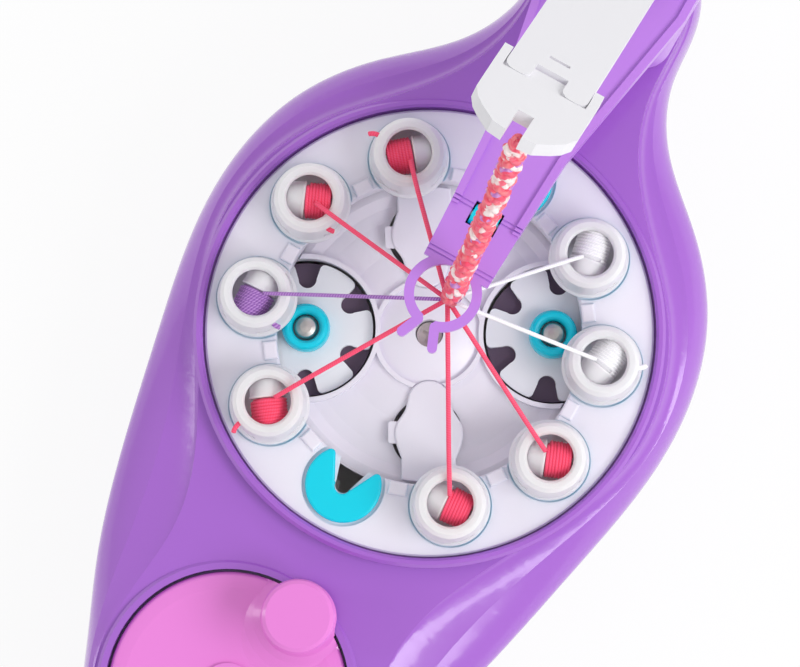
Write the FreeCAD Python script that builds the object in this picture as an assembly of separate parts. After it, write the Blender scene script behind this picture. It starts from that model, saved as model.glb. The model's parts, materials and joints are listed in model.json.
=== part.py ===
import FreeCAD, Part
import math
import os

# Kumihimo braiding machine, in millimetres: +Z up, -Y towards the crank and its user, +X to the right.
# Every piece is drawn about the deck centre and moved at the end, so that the origin is on the floor under
# the middle of the machine's box.

# Heights, which follow from the deck's
deck_height = 66.0            # top of the deck
parting_height = deck_height - 20.0       # joint between lower and upper shell
shoulder_height = deck_height - 7.0       # crease between the flank and the cove that rises to the deck
chassis_height = deck_height - 36.0
drive_height = deck_height - 31.0         # underside of the crank, idler and rotor gears
planet_height = deck_height - 20.0
star_height = deck_height - 12.0
rotor_floor_height = deck_height - 12.5
crank_underside = deck_height - 11.0
crank_rim_height = deck_height - 4.0
mast_base_height = deck_height + 6.0
arm_height = deck_height + 47.0           # top face of the arm
pivot_height = arm_height + 7.0

# Casing
crank_distance = 129.0        # deck centre to crank centre
nose_radius = 48.0            # round front end, about the crank centre
tail_reach = 150.0            # deck centre to rear tip
belly_half_width = 83.8
flank_half_width = 68.0       # beside the waist between deck and crank
neck_half_width = 26.4
wall = 2.5
underside_inset = 12.0        # how far the casing tucks under at the floor
top_slope = 2.0               # degrees by which the top falls towards the crank
foot_height = 3.0
foot_radius = 8.0

# Deck
deck_radius = 70.5
deck_thickness = 2.5
deck_gap = 0.6
lip_width = 3.0
lip_rise = 3.0                # the lip's top above the deck
ledge_width = 4.0
recess_radius = 48.0
station_count = 10
station_radius = 55.0         # deck centre to each station
pocket_depth = 1.2
pocket_gap = 1.1
stem_radius = 1.9
stem_slot_gap = 0.7
fork_radius = 12.0
fork_thickness = 2.7
fork_notch_angle = 55.0
fork_tip_radius = 2.5
rib_width = 4.4
rib_length = 6.0
rib_rise = 1.2

# Gear train
drive_module = 2.0
crank_teeth = 30
idler_teeth = 27
rotor_teeth = 45
planet_teeth = 18
fixed_ring_teeth = 60
backlash = 0.3                # width left free at each mesh, on the pitch circle
chassis_thickness = 3.0
drive_thickness = 6.0
planet_thickness = 5.0
running_gap = 0.05            # radial, shaft in bore
side_gap = 0.5                # between faces that turn past each other
post_radius = 5.0
idler_axle_radius = 2.5
shaft_radius = 4.0
screw_radius = 1.5
screw_head_radius = 3.0
screw_head_height = 1.6

# Rotor
star_distance = 39.0          # rotor centre to star wheel centre
star_angles = {"right": 29.0, "left": 206.5}
star_radius = 21.1
star_thickness = 3.0
star_notches = 6
notch_radius = 2.9
notch_mouth = 9.8
notch_corner = 1.6
well_radius = 22.0
rotor_floor_thickness = 4.5
valley_depth = 2.4            # the floor dips between the centre ridge and its rim
ridge_width = 1.5
ridge_rise = 2.0
centre_ridge_radius = 17.8
dome_rise = 4.0
centre_hole_radius = 4.4
collar_radius = 7.6
collar_hole_radius = 4.2
collar_thickness = 7.0
pin_radius = 2.5
pin_head_radius = 3.6
petal_angles = (299.0, 121.5)
petal_near = 14.8             # rotor centre to the petal's narrow end
petal_belly = 31.6            # rotor centre to its widest place
petal_half_width = 10.8
petal_head_half_width = 6.7
petal_stem_half_width = 8.6
petal_thickness = 1.5
petal_hole_radius = 11.3
petal_hole_offset = 0.6       # sideways from the petal, so that a thin gap shows beside it

# Spools
spool_base_radius = 12.6
spool_rim_radius = 10.9
spool_height = 14.8
spool_mouth_radius = 7.2
spool_cavity_radius = 9.4
spool_floor = 1.4
spool_rim_thickness = 1.5
bobbin_axis_height = 7.3      # above the housing's base
bobbin_shaft_radius = 1.2
bobbin_flange_radius = 5.9
bobbin_flange_thickness = 0.9
wound_radius = 5.7
wound_start = -1.5            # along the bobbin, from the middle of the mouth
wound_length = 8.4
# Station angle and bobbin direction of each spool, in degrees, anticlockwise from +X
spools = [(126, 219), (162, 23), (198, 272), (234, 305), (306, 4), (342, 21), (18, 81), (54, 101)]
thread_colours = ["pink", "pink", "purple", "pink", "pink", "pink", "white", "white"]

# Crank
crank_radius = 37.5
crank_gap = 0.8
crank_well_rim = 3.0
crank_dish = 2.5
knob_offset = 32.5
knob_radius = 11.5
knob_height = 15.0
knob_angle = 75.0
knob_pin_radius = 2.5

# Braid arm, mast and take-up lever
arm_thickness = 3.0
arm_rise_depth = 8.0          # depth of the side flanges
eye_radius = 8.75
eye_band = 3.0
eye_setback = 8.3             # hook eye centre behind the deck centre
eye_gap = 4.0
arm_tip_half_width = 10.9
arm_root_half_width = 23.4
roller_setback = 34.0
roller_radius = 3.2
roller_length = 8.4
roller_axle_radius = 1.2
roller_slot_gap = 0.6
mast_front = 104.0
mast_back = 143.0
mast_half_width = 23.0
pivot_setback = 132.0
lever_rest_angle = 46.0
lever_half_width = 13.0
lever_thickness = 2.5
lever_flange = 4.0
lever_length = 97.0
lever_barrel_radius = 5.5
lever_pin_radius = 2.5
washer_thickness = 0.8
cheek_thickness = 3.5
clip_half_width = 16.0
clip_start = 90.0             # pivot to the clip's rear edge
clip_length = 34.0
clip_thickness = 3.0
clip_notch_width = 5.0
clip_notch_depth = 11.0
thread_diameter = 2.2
braid_diameter = 7.3
fell_drop = 6.0               # from the arm's underside to where the threads meet and the braid begins
fell_setback = 7.0
touch = 0.3                   # clearance of a piece that rests against another

front_reach = crank_distance + nose_radius
deck_shift = FreeCAD.Vector(0, (front_reach - tail_reach) / 2, 0)
up = FreeCAD.Vector(0, 0, 1)


def vec(x, y, z=0.0):
    return FreeCAD.Vector(x, y, z)


def polar(radius, angle, z=0.0):
    turn = math.radians(angle)
    return vec(radius * math.cos(turn), radius * math.sin(turn), z)


def cylinder(radius, low, high, at=vec(0, 0)):
    return Part.makeCylinder(radius, high - low, vec(at.x, at.y, low))


def tube(outer, inner, low, high, at=vec(0, 0)):
    return cylinder(outer, low, high, at).cut(cylinder(inner, low - 1, high + 1, at))


def block(x_low, x_high, y_low, y_high, low, high):
    return Part.makeBox(x_high - x_low, y_high - y_low, high - low, vec(x_low, y_low, low))


def prism(wire, low, high):
    face = Part.Face(wire)
    face.translate(vec(0, 0, low))
    return face.extrude(vec(0, 0, high - low))


def polygon(points):
    return Part.makePolygon(points + [points[0]])


def revolved(profile, at=vec(0, 0)):
    """A solid of revolution about the vertical through at, from (radius, height) points."""
    wire = polygon([vec(r, 0, z) for r, z in profile])
    solid = Part.Face(wire).revolve(vec(0, 0), up, 360)
    solid.translate(at)
    return solid


def turned(shape, angle, centre=vec(0, 0)):
    copy = shape.copy()
    copy.rotate(centre, up, angle)
    return copy


def is_outer_upright(edge, radius):
    """Whether an edge stands upright on a circle of this radius about the vertical axis."""
    middle = edge.CenterOfMass
    upright = edge.BoundBox.ZLength > edge.Length - 0.01
    return upright and abs(math.hypot(middle.x, middle.y) - radius) < 0.1


def fused(shapes):
    return shapes[0].multiFuse(shapes[1:]).removeSplitter()


def save(name, *shapes):
    """Writes one piece, or a group of like pieces, moved from the deck centre to the machine's origin."""
    solids = [solid for shape in shapes for solid in shape.Solids]
    whole = solids[0] if len(solids) == 1 else Part.makeCompound(solids)
    whole = whole.copy()
    whole.translate(deck_shift)
    whole.exportStep(os.path.join("parts", name + ".step"))


def inset(points, distance):
    """One side of an outline, moved inwards by a distance along its normals."""
    moved = []
    last = len(points) - 1
    for i, point in enumerate(points):
        before = points[i - 1] if i else vec(-points[1].x, points[1].y)
        after = points[i + 1] if i < last else vec(-points[last - 1].x, points[last - 1].y)
        along = after - before
        normal = vec(-along.y, along.x)
        moved.append(point + normal.normalize() * distance)
    return moved


def section(points, height, slope=0.0):
    """A closed smooth outline at a height, from its right side's points, front tip to rear tip."""
    rise = math.tan(math.radians(slope))
    left = [vec(-p.x, p.y) for p in reversed(points[1:-1])]
    ring = [vec(p.x, p.y, height + rise * p.y) for p in points + left]
    curve = Part.BSplineCurve()
    curve.interpolate(ring, PeriodicFlag=True)
    return Part.Wire(curve.toShape())


def between(first, second, share):
    return [a + (b - a) * share for a, b in zip(first, second)]


def mast_section(wide, near, far, height, corner=9.0):
    """A rounded oblong at a height."""
    edges = []
    corners = [(1, 1, 0), (-1, 1, 90), (-1, -1, 180), (1, -1, 270)]
    for i, (x_side, y_side, start) in enumerate(corners):
        middle = vec(x_side * (wide - corner), (far - corner) if y_side == 1 else (near + corner), height)
        arc_start, arc_middle, arc_end = [middle + polar(corner, start + step) for step in (0, 45, 90)]
        edges.append(Part.Arc(arc_start, arc_middle, arc_end).toShape())
        next_x, next_y, next_start = corners[(i + 1) % 4]
        next_middle = vec(next_x * (wide - corner), (far - corner) if next_y == 1 else (near + corner), height)
        edges.append(Part.makeLine(arc_end, next_middle + polar(corner, next_start)))
    return Part.Wire(edges)


def nose(radius, angles):
    return [vec(radius * math.sin(math.radians(a)), -crank_distance - radius * math.cos(math.radians(a)))
            for a in angles]


os.makedirs("parts", exist_ok=True)

# The casing's widest outline and the edge of its raised top, right side only, front tip to rear tip
collar_radius_outside = crank_radius + crank_gap + crank_well_rim
lip_inside = deck_radius + deck_gap
lip_outside = lip_inside + lip_width
outline = nose(nose_radius, (0, 45, 80)) + [
    vec(0.5 * (nose_radius + flank_half_width), -0.87 * crank_distance),
    vec(flank_half_width, -79),
    vec(0.915 * belly_half_width, -40.6),
    vec(belly_half_width, 9),
    vec(0.895 * belly_half_width, 47.8),
    vec(0.69 * belly_half_width, 70.5),
    vec(neck_half_width + 10.6, 90.7),
    vec(neck_half_width + 1.8, 110),
    vec(neck_half_width, tail_reach - 22),
    vec(0.7 * neck_half_width, tail_reach - 6),
    vec(0, tail_reach)]
rim_margin = 0.8
top_edge = nose(collar_radius_outside + rim_margin, (0, 45, 80)) + [
    vec(collar_radius_outside + 0.2, -crank_distance + 17),
    vec(collar_radius_outside - 1.1, -crank_distance + 39),
    polar(lip_outside + rim_margin, -43.7),
    polar(lip_outside + rim_margin, 2),
    polar(lip_outside + rim_margin, 31),
    polar(lip_outside + rim_margin, 50),
    vec(neck_half_width + 5.0, 78),
    vec(neck_half_width - 2.2, 98),
    vec(neck_half_width - 3.6, tail_reach - 28),
    vec(neck_half_width - 11.0, tail_reach - 12),
    vec(0, tail_reach - 6.5)]

# Lower shell
base_height = foot_height
lower_levels = [(base_height, 1.0), (8.0, 0.7), (24.0, 0.25), (parting_height, 0.0)]


def lower_form(thickness):
    rings = []
    for level, share in lower_levels:
        height = level + (thickness if level == base_height else 0)
        rings.append(section(inset(outline, underside_inset * share + thickness), height))
    return Part.makeLoft(rings, True)


lower_outside = lower_form(0)
lower_shell = lower_outside.cut(lower_form(wall))
shell_screw_places = [(67, 10), (-67, 10), (13, 104), (-13, 104), (44, -98), (-44, -98)]
chassis_screw_places = [(52, 25), (-52, 25), (52, -25), (-52, -25), (30, -149), (-30, -149)]
pillar_radius = 4.2
screw_hole = screw_radius + 0.3
for x, y in shell_screw_places:
    pillar = cylinder(pillar_radius, base_height, parting_height, vec(x, y)).common(lower_outside)
    lower_shell = lower_shell.fuse(pillar)
for x, y in chassis_screw_places:
    pillar = cylinder(pillar_radius, base_height, chassis_height, vec(x, y)).common(lower_outside)
    lower_shell = lower_shell.fuse(pillar)
shell_screw_seat = parting_height - 14.0
for x, y in shell_screw_places:
    lower_shell = lower_shell.cut(cylinder(screw_head_radius + 0.3, 0, shell_screw_seat, vec(x, y)))
    lower_shell = lower_shell.cut(cylinder(screw_hole, 0, parting_height + 1, vec(x, y)))
for x, y in chassis_screw_places:
    lower_shell = lower_shell.cut(cylinder(screw_radius, chassis_height - 12, chassis_height + 1, vec(x, y)))
foot_places = [(55, 30), (-55, 30), (26, -128), (-26, -128)]
foot_spigot = 2.5
for x, y in foot_places:
    lower_shell = lower_shell.cut(cylinder(foot_spigot + running_gap, 0, base_height + wall + 1, vec(x, y)))
save("lower_shell", lower_shell)

feet = [cylinder(foot_radius, 0, base_height, vec(x, y)).fuse(
    cylinder(foot_spigot, base_height - 1, base_height + wall, vec(x, y))) for x, y in foot_places]
save("rubber_feet", *feet)

# Upper shell: a flank up to the shoulder, then a cove up to the raised top
shoulder_share = 0.5
flank_levels = [(parting_height, 0.0), (parting_height + 6, 0.08), (shoulder_height - 2.5, 0.3),
                (shoulder_height, shoulder_share)]
cove_levels = [(shoulder_height, shoulder_share), (shoulder_height + 1.5, 0.76), (deck_height, 1.0)]


def upper_form(thickness):
    flank = [section(inset(between(outline, top_edge, share), thickness), height - (thickness if share else 0))
             for height, share in flank_levels]
    cove = []
    for height, share in cove_levels:
        slope = top_slope if share == 1.0 else 0.0
        cove.append(section(inset(between(outline, top_edge, share), thickness), height - thickness, slope))
    return Part.makeLoft(flank, True).fuse(Part.makeLoft(cove, True))


crank_at = vec(0, -crank_distance)
lip_top = deck_height + lip_rise
ledge_top = deck_height - deck_thickness
crank_collar_top = crank_rim_height + 1.5
upper_outside = upper_form(0)
lip = revolved([(lip_inside - ledge_width, ledge_top - wall), (lip_outside, ledge_top - wall),
                (lip_outside, lip_top - 1.2), (lip_outside - 1.0, lip_top), (lip_inside + 0.8, lip_top),
                (lip_inside, lip_top - 0.9), (lip_inside, ledge_top), (lip_inside - ledge_width, ledge_top)])
well_floor_top = crank_underside - side_gap
well_inside = crank_radius + crank_gap
crank_well = revolved([(0, well_floor_top - wall), (collar_radius_outside, well_floor_top - wall),
                       (collar_radius_outside, crank_collar_top - 1),
                       (collar_radius_outside - 1, crank_collar_top),
                       (well_inside, crank_collar_top), (well_inside, well_floor_top), (0, well_floor_top)],
                      crank_at)
upper_shell = upper_outside.cut(upper_form(wall))
upper_shell = upper_shell.cut(cylinder(lip_inside, ledge_top - wall, lip_top + 5))
upper_shell = upper_shell.cut(cylinder(well_inside, well_floor_top - wall, lip_top + 5, crank_at))
upper_shell = upper_shell.cut(cylinder(lip_inside - ledge_width, parting_height, ledge_top + 1))
for x, y in shell_screw_places:
    boss = cylinder(pillar_radius, parting_height, shoulder_height + 4, vec(x, y)).common(upper_outside)
    upper_shell = upper_shell.fuse(boss)
mast_pad = prism(mast_section(mast_half_width, mast_front, mast_back, 0), deck_height - 1, mast_base_height)
upper_shell = upper_shell.multiFuse([lip, crank_well, mast_pad])
for x, y in shell_screw_places:
    upper_shell = upper_shell.cut(cylinder(screw_radius, parting_height - 1, shoulder_height - 3, vec(x, y)))
knob_swing = knob_offset + knob_radius + side_gap
upper_shell = upper_shell.cut(tube(knob_swing + 1, well_inside - 1, crank_collar_top, lip_top + 5, crank_at))
upper_shell = upper_shell.cut(cylinder(shaft_radius + side_gap, parting_height, crank_underside, crank_at))
upper_shell = max(upper_shell.Solids, key=lambda solid: solid.Volume)
save("upper_shell", upper_shell)

screws = []
for x, y in shell_screw_places:
    head = cylinder(screw_head_radius, shell_screw_seat - screw_head_height, shell_screw_seat, vec(x, y))
    shank = cylinder(screw_radius - running_gap, shell_screw_seat - 1, shoulder_height - 5, vec(x, y))
    screws.append(head.fuse(shank))
save("shell_screws", *screws)

# Chassis plate with the centre post, the crank bearing and the posts for the fixed ring gear
plate_top = chassis_height + chassis_thickness
ring_pitch = star_distance / (1 - planet_teeth / fixed_ring_teeth)
ring_outer = ring_pitch + 7.0
ring_post_radius = 3.0
ring_post_angles = (45, 135, 225, 315)
idler_at = vec(0, -crank_distance + drive_module * (crank_teeth + idler_teeth) / 2)
plate = cylinder(ring_outer, chassis_height, plate_top)
plate = plate.fuse(cylinder(38, chassis_height, plate_top, crank_at))
plate = plate.fuse(block(-34, 34, -crank_distance, 0, chassis_height, plate_top))
centre_post_top = rotor_floor_height
plate = plate.fuse(cylinder(post_radius, plate_top - 1, centre_post_top))
for angle in ring_post_angles:
    post_at = polar(ring_outer - ring_post_radius - 0.6, angle)
    plate = plate.fuse(cylinder(ring_post_radius, plate_top - 1, planet_height, post_at))
plate = plate.cut(cylinder(screw_radius, centre_post_top - 12, centre_post_top + 1))
plate = plate.cut(cylinder(shaft_radius + running_gap, chassis_height - 1, plate_top + 1, crank_at))
plate = plate.cut(cylinder(idler_axle_radius, chassis_height - 1, plate_top + 1, idler_at))
for x, y in chassis_screw_places:
    plate = plate.cut(cylinder(screw_hole, chassis_height - 1, plate_top + 1, vec(x, y)))
save("chassis_plate", plate)
screws = []
for x, y in chassis_screw_places:
    head = cylinder(screw_head_radius, plate_top, plate_top + screw_head_height, vec(x, y))
    shank = cylinder(screw_radius - running_gap, chassis_height - 10, plate_top + 1, vec(x, y))
    screws.append(head.fuse(shank))
save("chassis_screws", *screws)


def gear_outline(teeth, module, phase, inner=False):
    """Straight-flanked teeth; phase is the angle of the middle of one tooth. An inner gear's outline is
    its hole, whose teeth point inwards at the phase angle."""
    pitch = teeth * module / 2
    outwards = -1 if inner else 1
    tip = pitch + 0.9 * module * outwards
    root = pitch - 1.1 * module * outwards
    share = 180.0 / teeth * (1 - 2 * backlash / (math.pi * module)) / 2
    points = []
    for tooth in range(teeth):
        middle = phase + 360.0 * tooth / teeth
        points.append(polar(root, middle - 1.6 * share))
        points.append(polar(tip, middle - 0.5 * share))
        points.append(polar(tip, middle + 0.5 * share))
        points.append(polar(root, middle + 1.6 * share))
    return polygon(points)


def gear(teeth, module, phase, low, thickness, at=vec(0, 0)):
    solid = prism(gear_outline(teeth, module, phase), low, low + thickness)
    solid.translate(at)
    return solid


station_angles = [90 + 360.0 / station_count * i for i in range(station_count)]
planet_module = 2 * ring_pitch / fixed_ring_teeth
ring_gear = cylinder(ring_outer, planet_height, planet_height + planet_thickness)
ring_phase = station_angles[0] + 180 / fixed_ring_teeth
ring_hole = prism(gear_outline(fixed_ring_teeth, planet_module, ring_phase, True), planet_height - 1,
                  planet_height + planet_thickness + 1)
save("ring_gear", ring_gear.cut(ring_hole))

# Deck ring with a pocket at each station and a stem slot that widens into the recess
pocket_radius = fork_radius + pocket_gap
skirt_width = 2.0
skirt_bottom = star_height + star_thickness + 2.0
slot_half = stem_radius + stem_slot_gap
slot_mouth = 5.2
deck = revolved([(recess_radius, skirt_bottom), (recess_radius + skirt_width, skirt_bottom),
                 (recess_radius + skirt_width, ledge_top), (deck_radius, ledge_top),
                 (deck_radius, deck_height - 0.6), (deck_radius - 0.6, deck_height),
                 (recess_radius + 0.6, deck_height), (recess_radius, deck_height - 0.6)])
pocket_floor = deck_height - pocket_depth
for angle in station_angles:
    place = polar(station_radius, angle)
    deck = deck.cut(cylinder(pocket_radius, pocket_floor, deck_height + 1, place))
    slot = prism(polygon([vec(recess_radius - 1, -slot_mouth), vec(station_radius, -slot_half),
                          vec(station_radius, slot_half), vec(recess_radius - 1, slot_mouth)]),
                 skirt_bottom - 1, deck_height + 1)
    slot = slot.fuse(cylinder(slot_half, skirt_bottom - 1, deck_height + 1, vec(station_radius, 0)))
    deck = deck.cut(turned(slot, angle))
for angle in station_angles:
    rib = block(recess_radius, recess_radius + rib_width, -rib_length / 2, rib_length / 2, deck_height - 0.5,
                deck_height + rib_rise)
    rib = rib.makeFillet(0.8, [edge for edge in rib.Edges if edge.BoundBox.ZMin > deck_height])
    deck = deck.fuse(turned(rib, angle + 180.0 / station_count))
save("deck_ring", deck)

# Station forks: a disc with a notch that opens towards the deck centre
fork_top = pocket_floor + fork_thickness
half_notch = math.radians(fork_notch_angle / 2)
reach = fork_radius * 1.3
tip_at = fork_tip_radius * 0.2
fork = cylinder(fork_radius, pocket_floor, fork_top)
wedge_start = tip_at + fork_tip_radius / math.sin(half_notch)
wedge = prism(polygon([vec(wedge_start, 0), vec(wedge_start - reach * 2, -reach * 2 * math.tan(half_notch)),
                       vec(wedge_start - reach * 2, reach * 2 * math.tan(half_notch))]),
              pocket_floor - 1, fork_top + 1)
wedge = wedge.common(block(-reach * 2, tip_at, -reach * 2, reach * 2, pocket_floor - 1, fork_top + 1))
fork = fork.cut(wedge).cut(cylinder(fork_tip_radius, pocket_floor - 1, fork_top + 1, vec(tip_at, 0)))
fork = fork.makeFillet(1.4, [edge for edge in fork.Edges
                             if is_outer_upright(edge, fork_radius) and edge.CenterOfMass.x < 0])
fork = fork.makeFillet(0.8, [edge for edge in fork.Edges if edge.BoundBox.ZMin > fork_top - 0.01])
fork.translate(vec(station_radius, 0))
save("station_forks", *[turned(fork, angle) for angle in station_angles])

# Rotor: the driven gear carries two planets, and its columns carry the floor
rotor_phase = 270 + 180.0 / rotor_teeth
star_places = [(side, polar(star_distance, angle), angle) for side, angle in star_angles.items()]
drive_top = drive_height + drive_thickness
rotor_gear = gear(rotor_teeth, drive_module, rotor_phase, drive_height, drive_thickness)
column_radius = 3.0
column_distance = 38.5
column_spread = 26.0          # degrees to each side of a petal
column_places = [polar(column_distance, angle + side * column_spread)
                 for angle in petal_angles for side in (1, -1)]
rotor_gear = rotor_gear.fuse(cylinder(9.0, drive_top - 1, rotor_floor_height))
for place in column_places:
    rotor_gear = rotor_gear.fuse(cylinder(column_radius, drive_top - 1, rotor_floor_height, place))
rotor_gear = rotor_gear.cut(cylinder(post_radius + running_gap, drive_height - 1, rotor_floor_height + 1))
for side, place, angle in star_places:
    rotor_gear = rotor_gear.cut(cylinder(pin_radius, drive_height - 1, drive_top + 1, place))
save("rotor_gear", rotor_gear)

floor_top = rotor_floor_height + rotor_floor_thickness
rotor_radius = recess_radius - side_gap
floor_radius = recess_radius + 1.5    # it runs under the deck's skirt
petal_low = floor_top
petal_top = petal_low + petal_thickness

# Outline of a gate petal: a narrow head on the centre ridge, a broad belly and a stem to the rim
petal_side = [(petal_near + 2.4, 0.79 * petal_head_half_width), (petal_near + 5.7, petal_head_half_width),
              (petal_near + 9.3, 1.13 * petal_head_half_width), (petal_belly - 3.5, 0.93 * petal_half_width),
              (petal_belly, petal_half_width), (petal_belly + 4.0, 0.93 * petal_half_width),
              (petal_belly + 7.8, petal_stem_half_width)]
petal_curve = Part.BSplineCurve()
petal_curve.interpolate([vec(r, -half) for r, half in reversed(petal_side)] + [vec(petal_near, 0)]
                        + [vec(r, half) for r, half in petal_side])
stem_ends = [vec(petal_belly + 7.8, petal_stem_half_width), vec(recess_radius, petal_stem_half_width),
             vec(recess_radius, -petal_stem_half_width), vec(petal_belly + 7.8, -petal_stem_half_width)]
petal_outline = Part.Wire([petal_curve.toShape()] + Part.makePolygon(stem_ends).Edges)
petal_seat = cylinder(petal_head_half_width + touch, petal_low, lip_top,
                      vec(petal_near + petal_head_half_width, 0))
valley_start = centre_ridge_radius + 2.0
rotor_floor = revolved([(0, rotor_floor_height), (floor_radius, rotor_floor_height),
                        (floor_radius, floor_top - 1.0), (rotor_radius - 1.5, floor_top - 1.0),
                        (rotor_radius - 5.0, floor_top - 0.95 * valley_depth),
                        (rotor_radius - 9.0, floor_top - valley_depth),
                        (valley_start + 9.0, floor_top - 0.7 * valley_depth),
                        (valley_start + 3.0, floor_top - 0.2 * valley_depth),
                        (valley_start, floor_top), (0, floor_top)])
ridge_low = floor_top - valley_depth - 0.2
ridges = tube(centre_ridge_radius, centre_ridge_radius - ridge_width, ridge_low, floor_top + ridge_rise)
for side, place, angle in star_places:
    ridges = ridges.fuse(tube(well_radius + ridge_width, well_radius, ridge_low, floor_top + ridge_rise, place))
ridges = ridges.common(cylinder(rotor_radius, rotor_floor_height, floor_top + ridge_rise))
dome_radius = ((centre_ridge_radius - ridge_width) ** 2 + dome_rise ** 2) / (2 * dome_rise)
dome = Part.makeSphere(dome_radius, vec(0, 0, floor_top + dome_rise - dome_radius))
dome = dome.common(cylinder(centre_ridge_radius - ridge_width, floor_top - 0.5, floor_top + dome_rise + 1))
for angle in petal_angles:
    ridges = ridges.cut(turned(petal_seat, angle))
    dome = dome.cut(turned(petal_seat, angle))
rotor_floor = fused([rotor_floor, ridges, dome])
for side, place, angle in star_places:
    rotor_floor = rotor_floor.cut(cylinder(well_radius, rotor_floor_height - 1, lip_top, place))
for angle, side in zip(petal_angles, (-1, 1)):
    hole_at = polar(petal_belly, angle) + polar(petal_hole_offset, angle + side * 90)
    rotor_floor = rotor_floor.cut(cylinder(petal_hole_radius, rotor_floor_height - 1, lip_top, hole_at))
rotor_floor = rotor_floor.cut(cylinder(centre_hole_radius, rotor_floor_height - 1, lip_top))
save("rotor_floor", rotor_floor)

rotor_screw = cylinder(centre_hole_radius - 0.4, centre_post_top, centre_post_top + 2.5)
rotor_screw = rotor_screw.fuse(cylinder(screw_radius - running_gap, centre_post_top - 10, centre_post_top + 1))
rotor_screw = rotor_screw.cut(block(-2.4, 2.4, -0.5, 0.5, centre_post_top + 1.5, centre_post_top + 3))
rotor_screw = rotor_screw.cut(block(-0.5, 0.5, -2.4, 2.4, centre_post_top + 1.5, centre_post_top + 3))
save("rotor_screw", rotor_screw)

# Petal-shaped gates, each with a tab beside its belly
petal = prism(petal_outline, petal_low, petal_top)
petal = petal.common(cylinder(rotor_radius - 0.6, petal_low, petal_top))
petal = petal.makeFillet(0.7, [edge for edge in petal.Edges if edge.BoundBox.ZMin > petal_top - 0.01])
tab_reach = petal_half_width + 2.0
petals = []
for angle, side in zip(petal_angles, (-1, 1)):
    y_low, y_high = sorted((side * (petal_half_width - 4), side * tab_reach))
    tab = block(petal_belly - 3.9, petal_belly + 3.1, y_low, y_high, petal_low, petal_low + 0.7)
    outer_corners = [edge for edge in tab.Edges if abs(edge.BoundBox.Center.y) > tab_reach - 0.01]
    tab = tab.makeFillet(0.9, [edge for edge in outer_corners if edge.BoundBox.ZLength > 0.6])
    petals.append(turned(petal.fuse(tab), angle))
save("gate_petals", *petals)

# Star wheels, planets, collars and pins. A wheel turns by spin_ratio when its centre goes round the deck once.
collar_low = star_height + star_thickness
collar_top = collar_low + collar_thickness
pin_head_low = collar_top - 4.2
flange_low = planet_height + planet_thickness + side_gap
spin_ratio = fixed_ring_teeth / planet_teeth


def rolled(angle, start):
    """Direction of a mark on a star wheel that pointed outwards when the wheel stood at the start angle."""
    return angle - spin_ratio * (angle - start)


for side, place, angle in star_places:
    star = cylinder(star_radius, star_height, collar_low)
    notch_depth = station_radius - star_distance - 0.2
    notch = prism(polygon([vec(notch_depth, -notch_radius), vec(star_radius + 1, -notch_mouth / 2),
                           vec(star_radius + 1, notch_mouth / 2), vec(notch_depth, notch_radius)]),
                  star_height - 1, collar_low + 1)
    notch = notch.fuse(cylinder(notch_radius, star_height - 1, collar_low + 1, vec(notch_depth, 0)))
    first_notch = rolled(angle, station_angles[0])
    for i in range(star_notches):
        star = star.cut(turned(notch, first_notch + 360.0 / star_notches * i))
    star = star.makeFillet(notch_corner, [edge for edge in star.Edges if is_outer_upright(edge, star_radius)])
    star = star.cut(cylinder(pin_radius + running_gap, star_height - 1, collar_low + 1))
    star.translate(place)
    save("star_wheel_" + side, star)
    planet = gear(planet_teeth, planet_module, first_notch, planet_height, planet_thickness)
    planet = planet.fuse(cylinder(6.0, drive_top + touch, flange_low + 0.5))
    planet = planet.fuse(cylinder(star_radius, flange_low, star_height))
    planet = planet.cut(cylinder(pin_radius + running_gap, drive_top, star_height + 1))
    planet.translate(place)
    save("planet_gear_" + side, planet)
    middle = (collar_radius + collar_hole_radius) / 2
    ring = revolved([(collar_hole_radius, collar_low), (collar_radius, collar_low),
                     (collar_radius, collar_top - 2.6), (collar_radius - 0.4, collar_top - 1.1),
                     (middle + 0.7, collar_top - 0.2), (middle, collar_top),
                     (middle - 0.7, collar_top - 0.2), (collar_hole_radius + 0.4, collar_top - 1.1),
                     (collar_hole_radius, collar_top - 2.6)], place)
    save("collar_" + side, ring)
    pin = cylinder(pin_radius, drive_height, pin_head_low + 0.5, place)
    head = revolved([(0, pin_head_low), (pin_head_radius, pin_head_low), (pin_head_radius, pin_head_low + 1.6),
                     (pin_head_radius * 0.85, pin_head_low + 2.5), (pin_head_radius * 0.5, pin_head_low + 3.1),
                     (0, pin_head_low + 3.4)], place)
    save("star_pin_" + side, pin.fuse(head))

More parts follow.
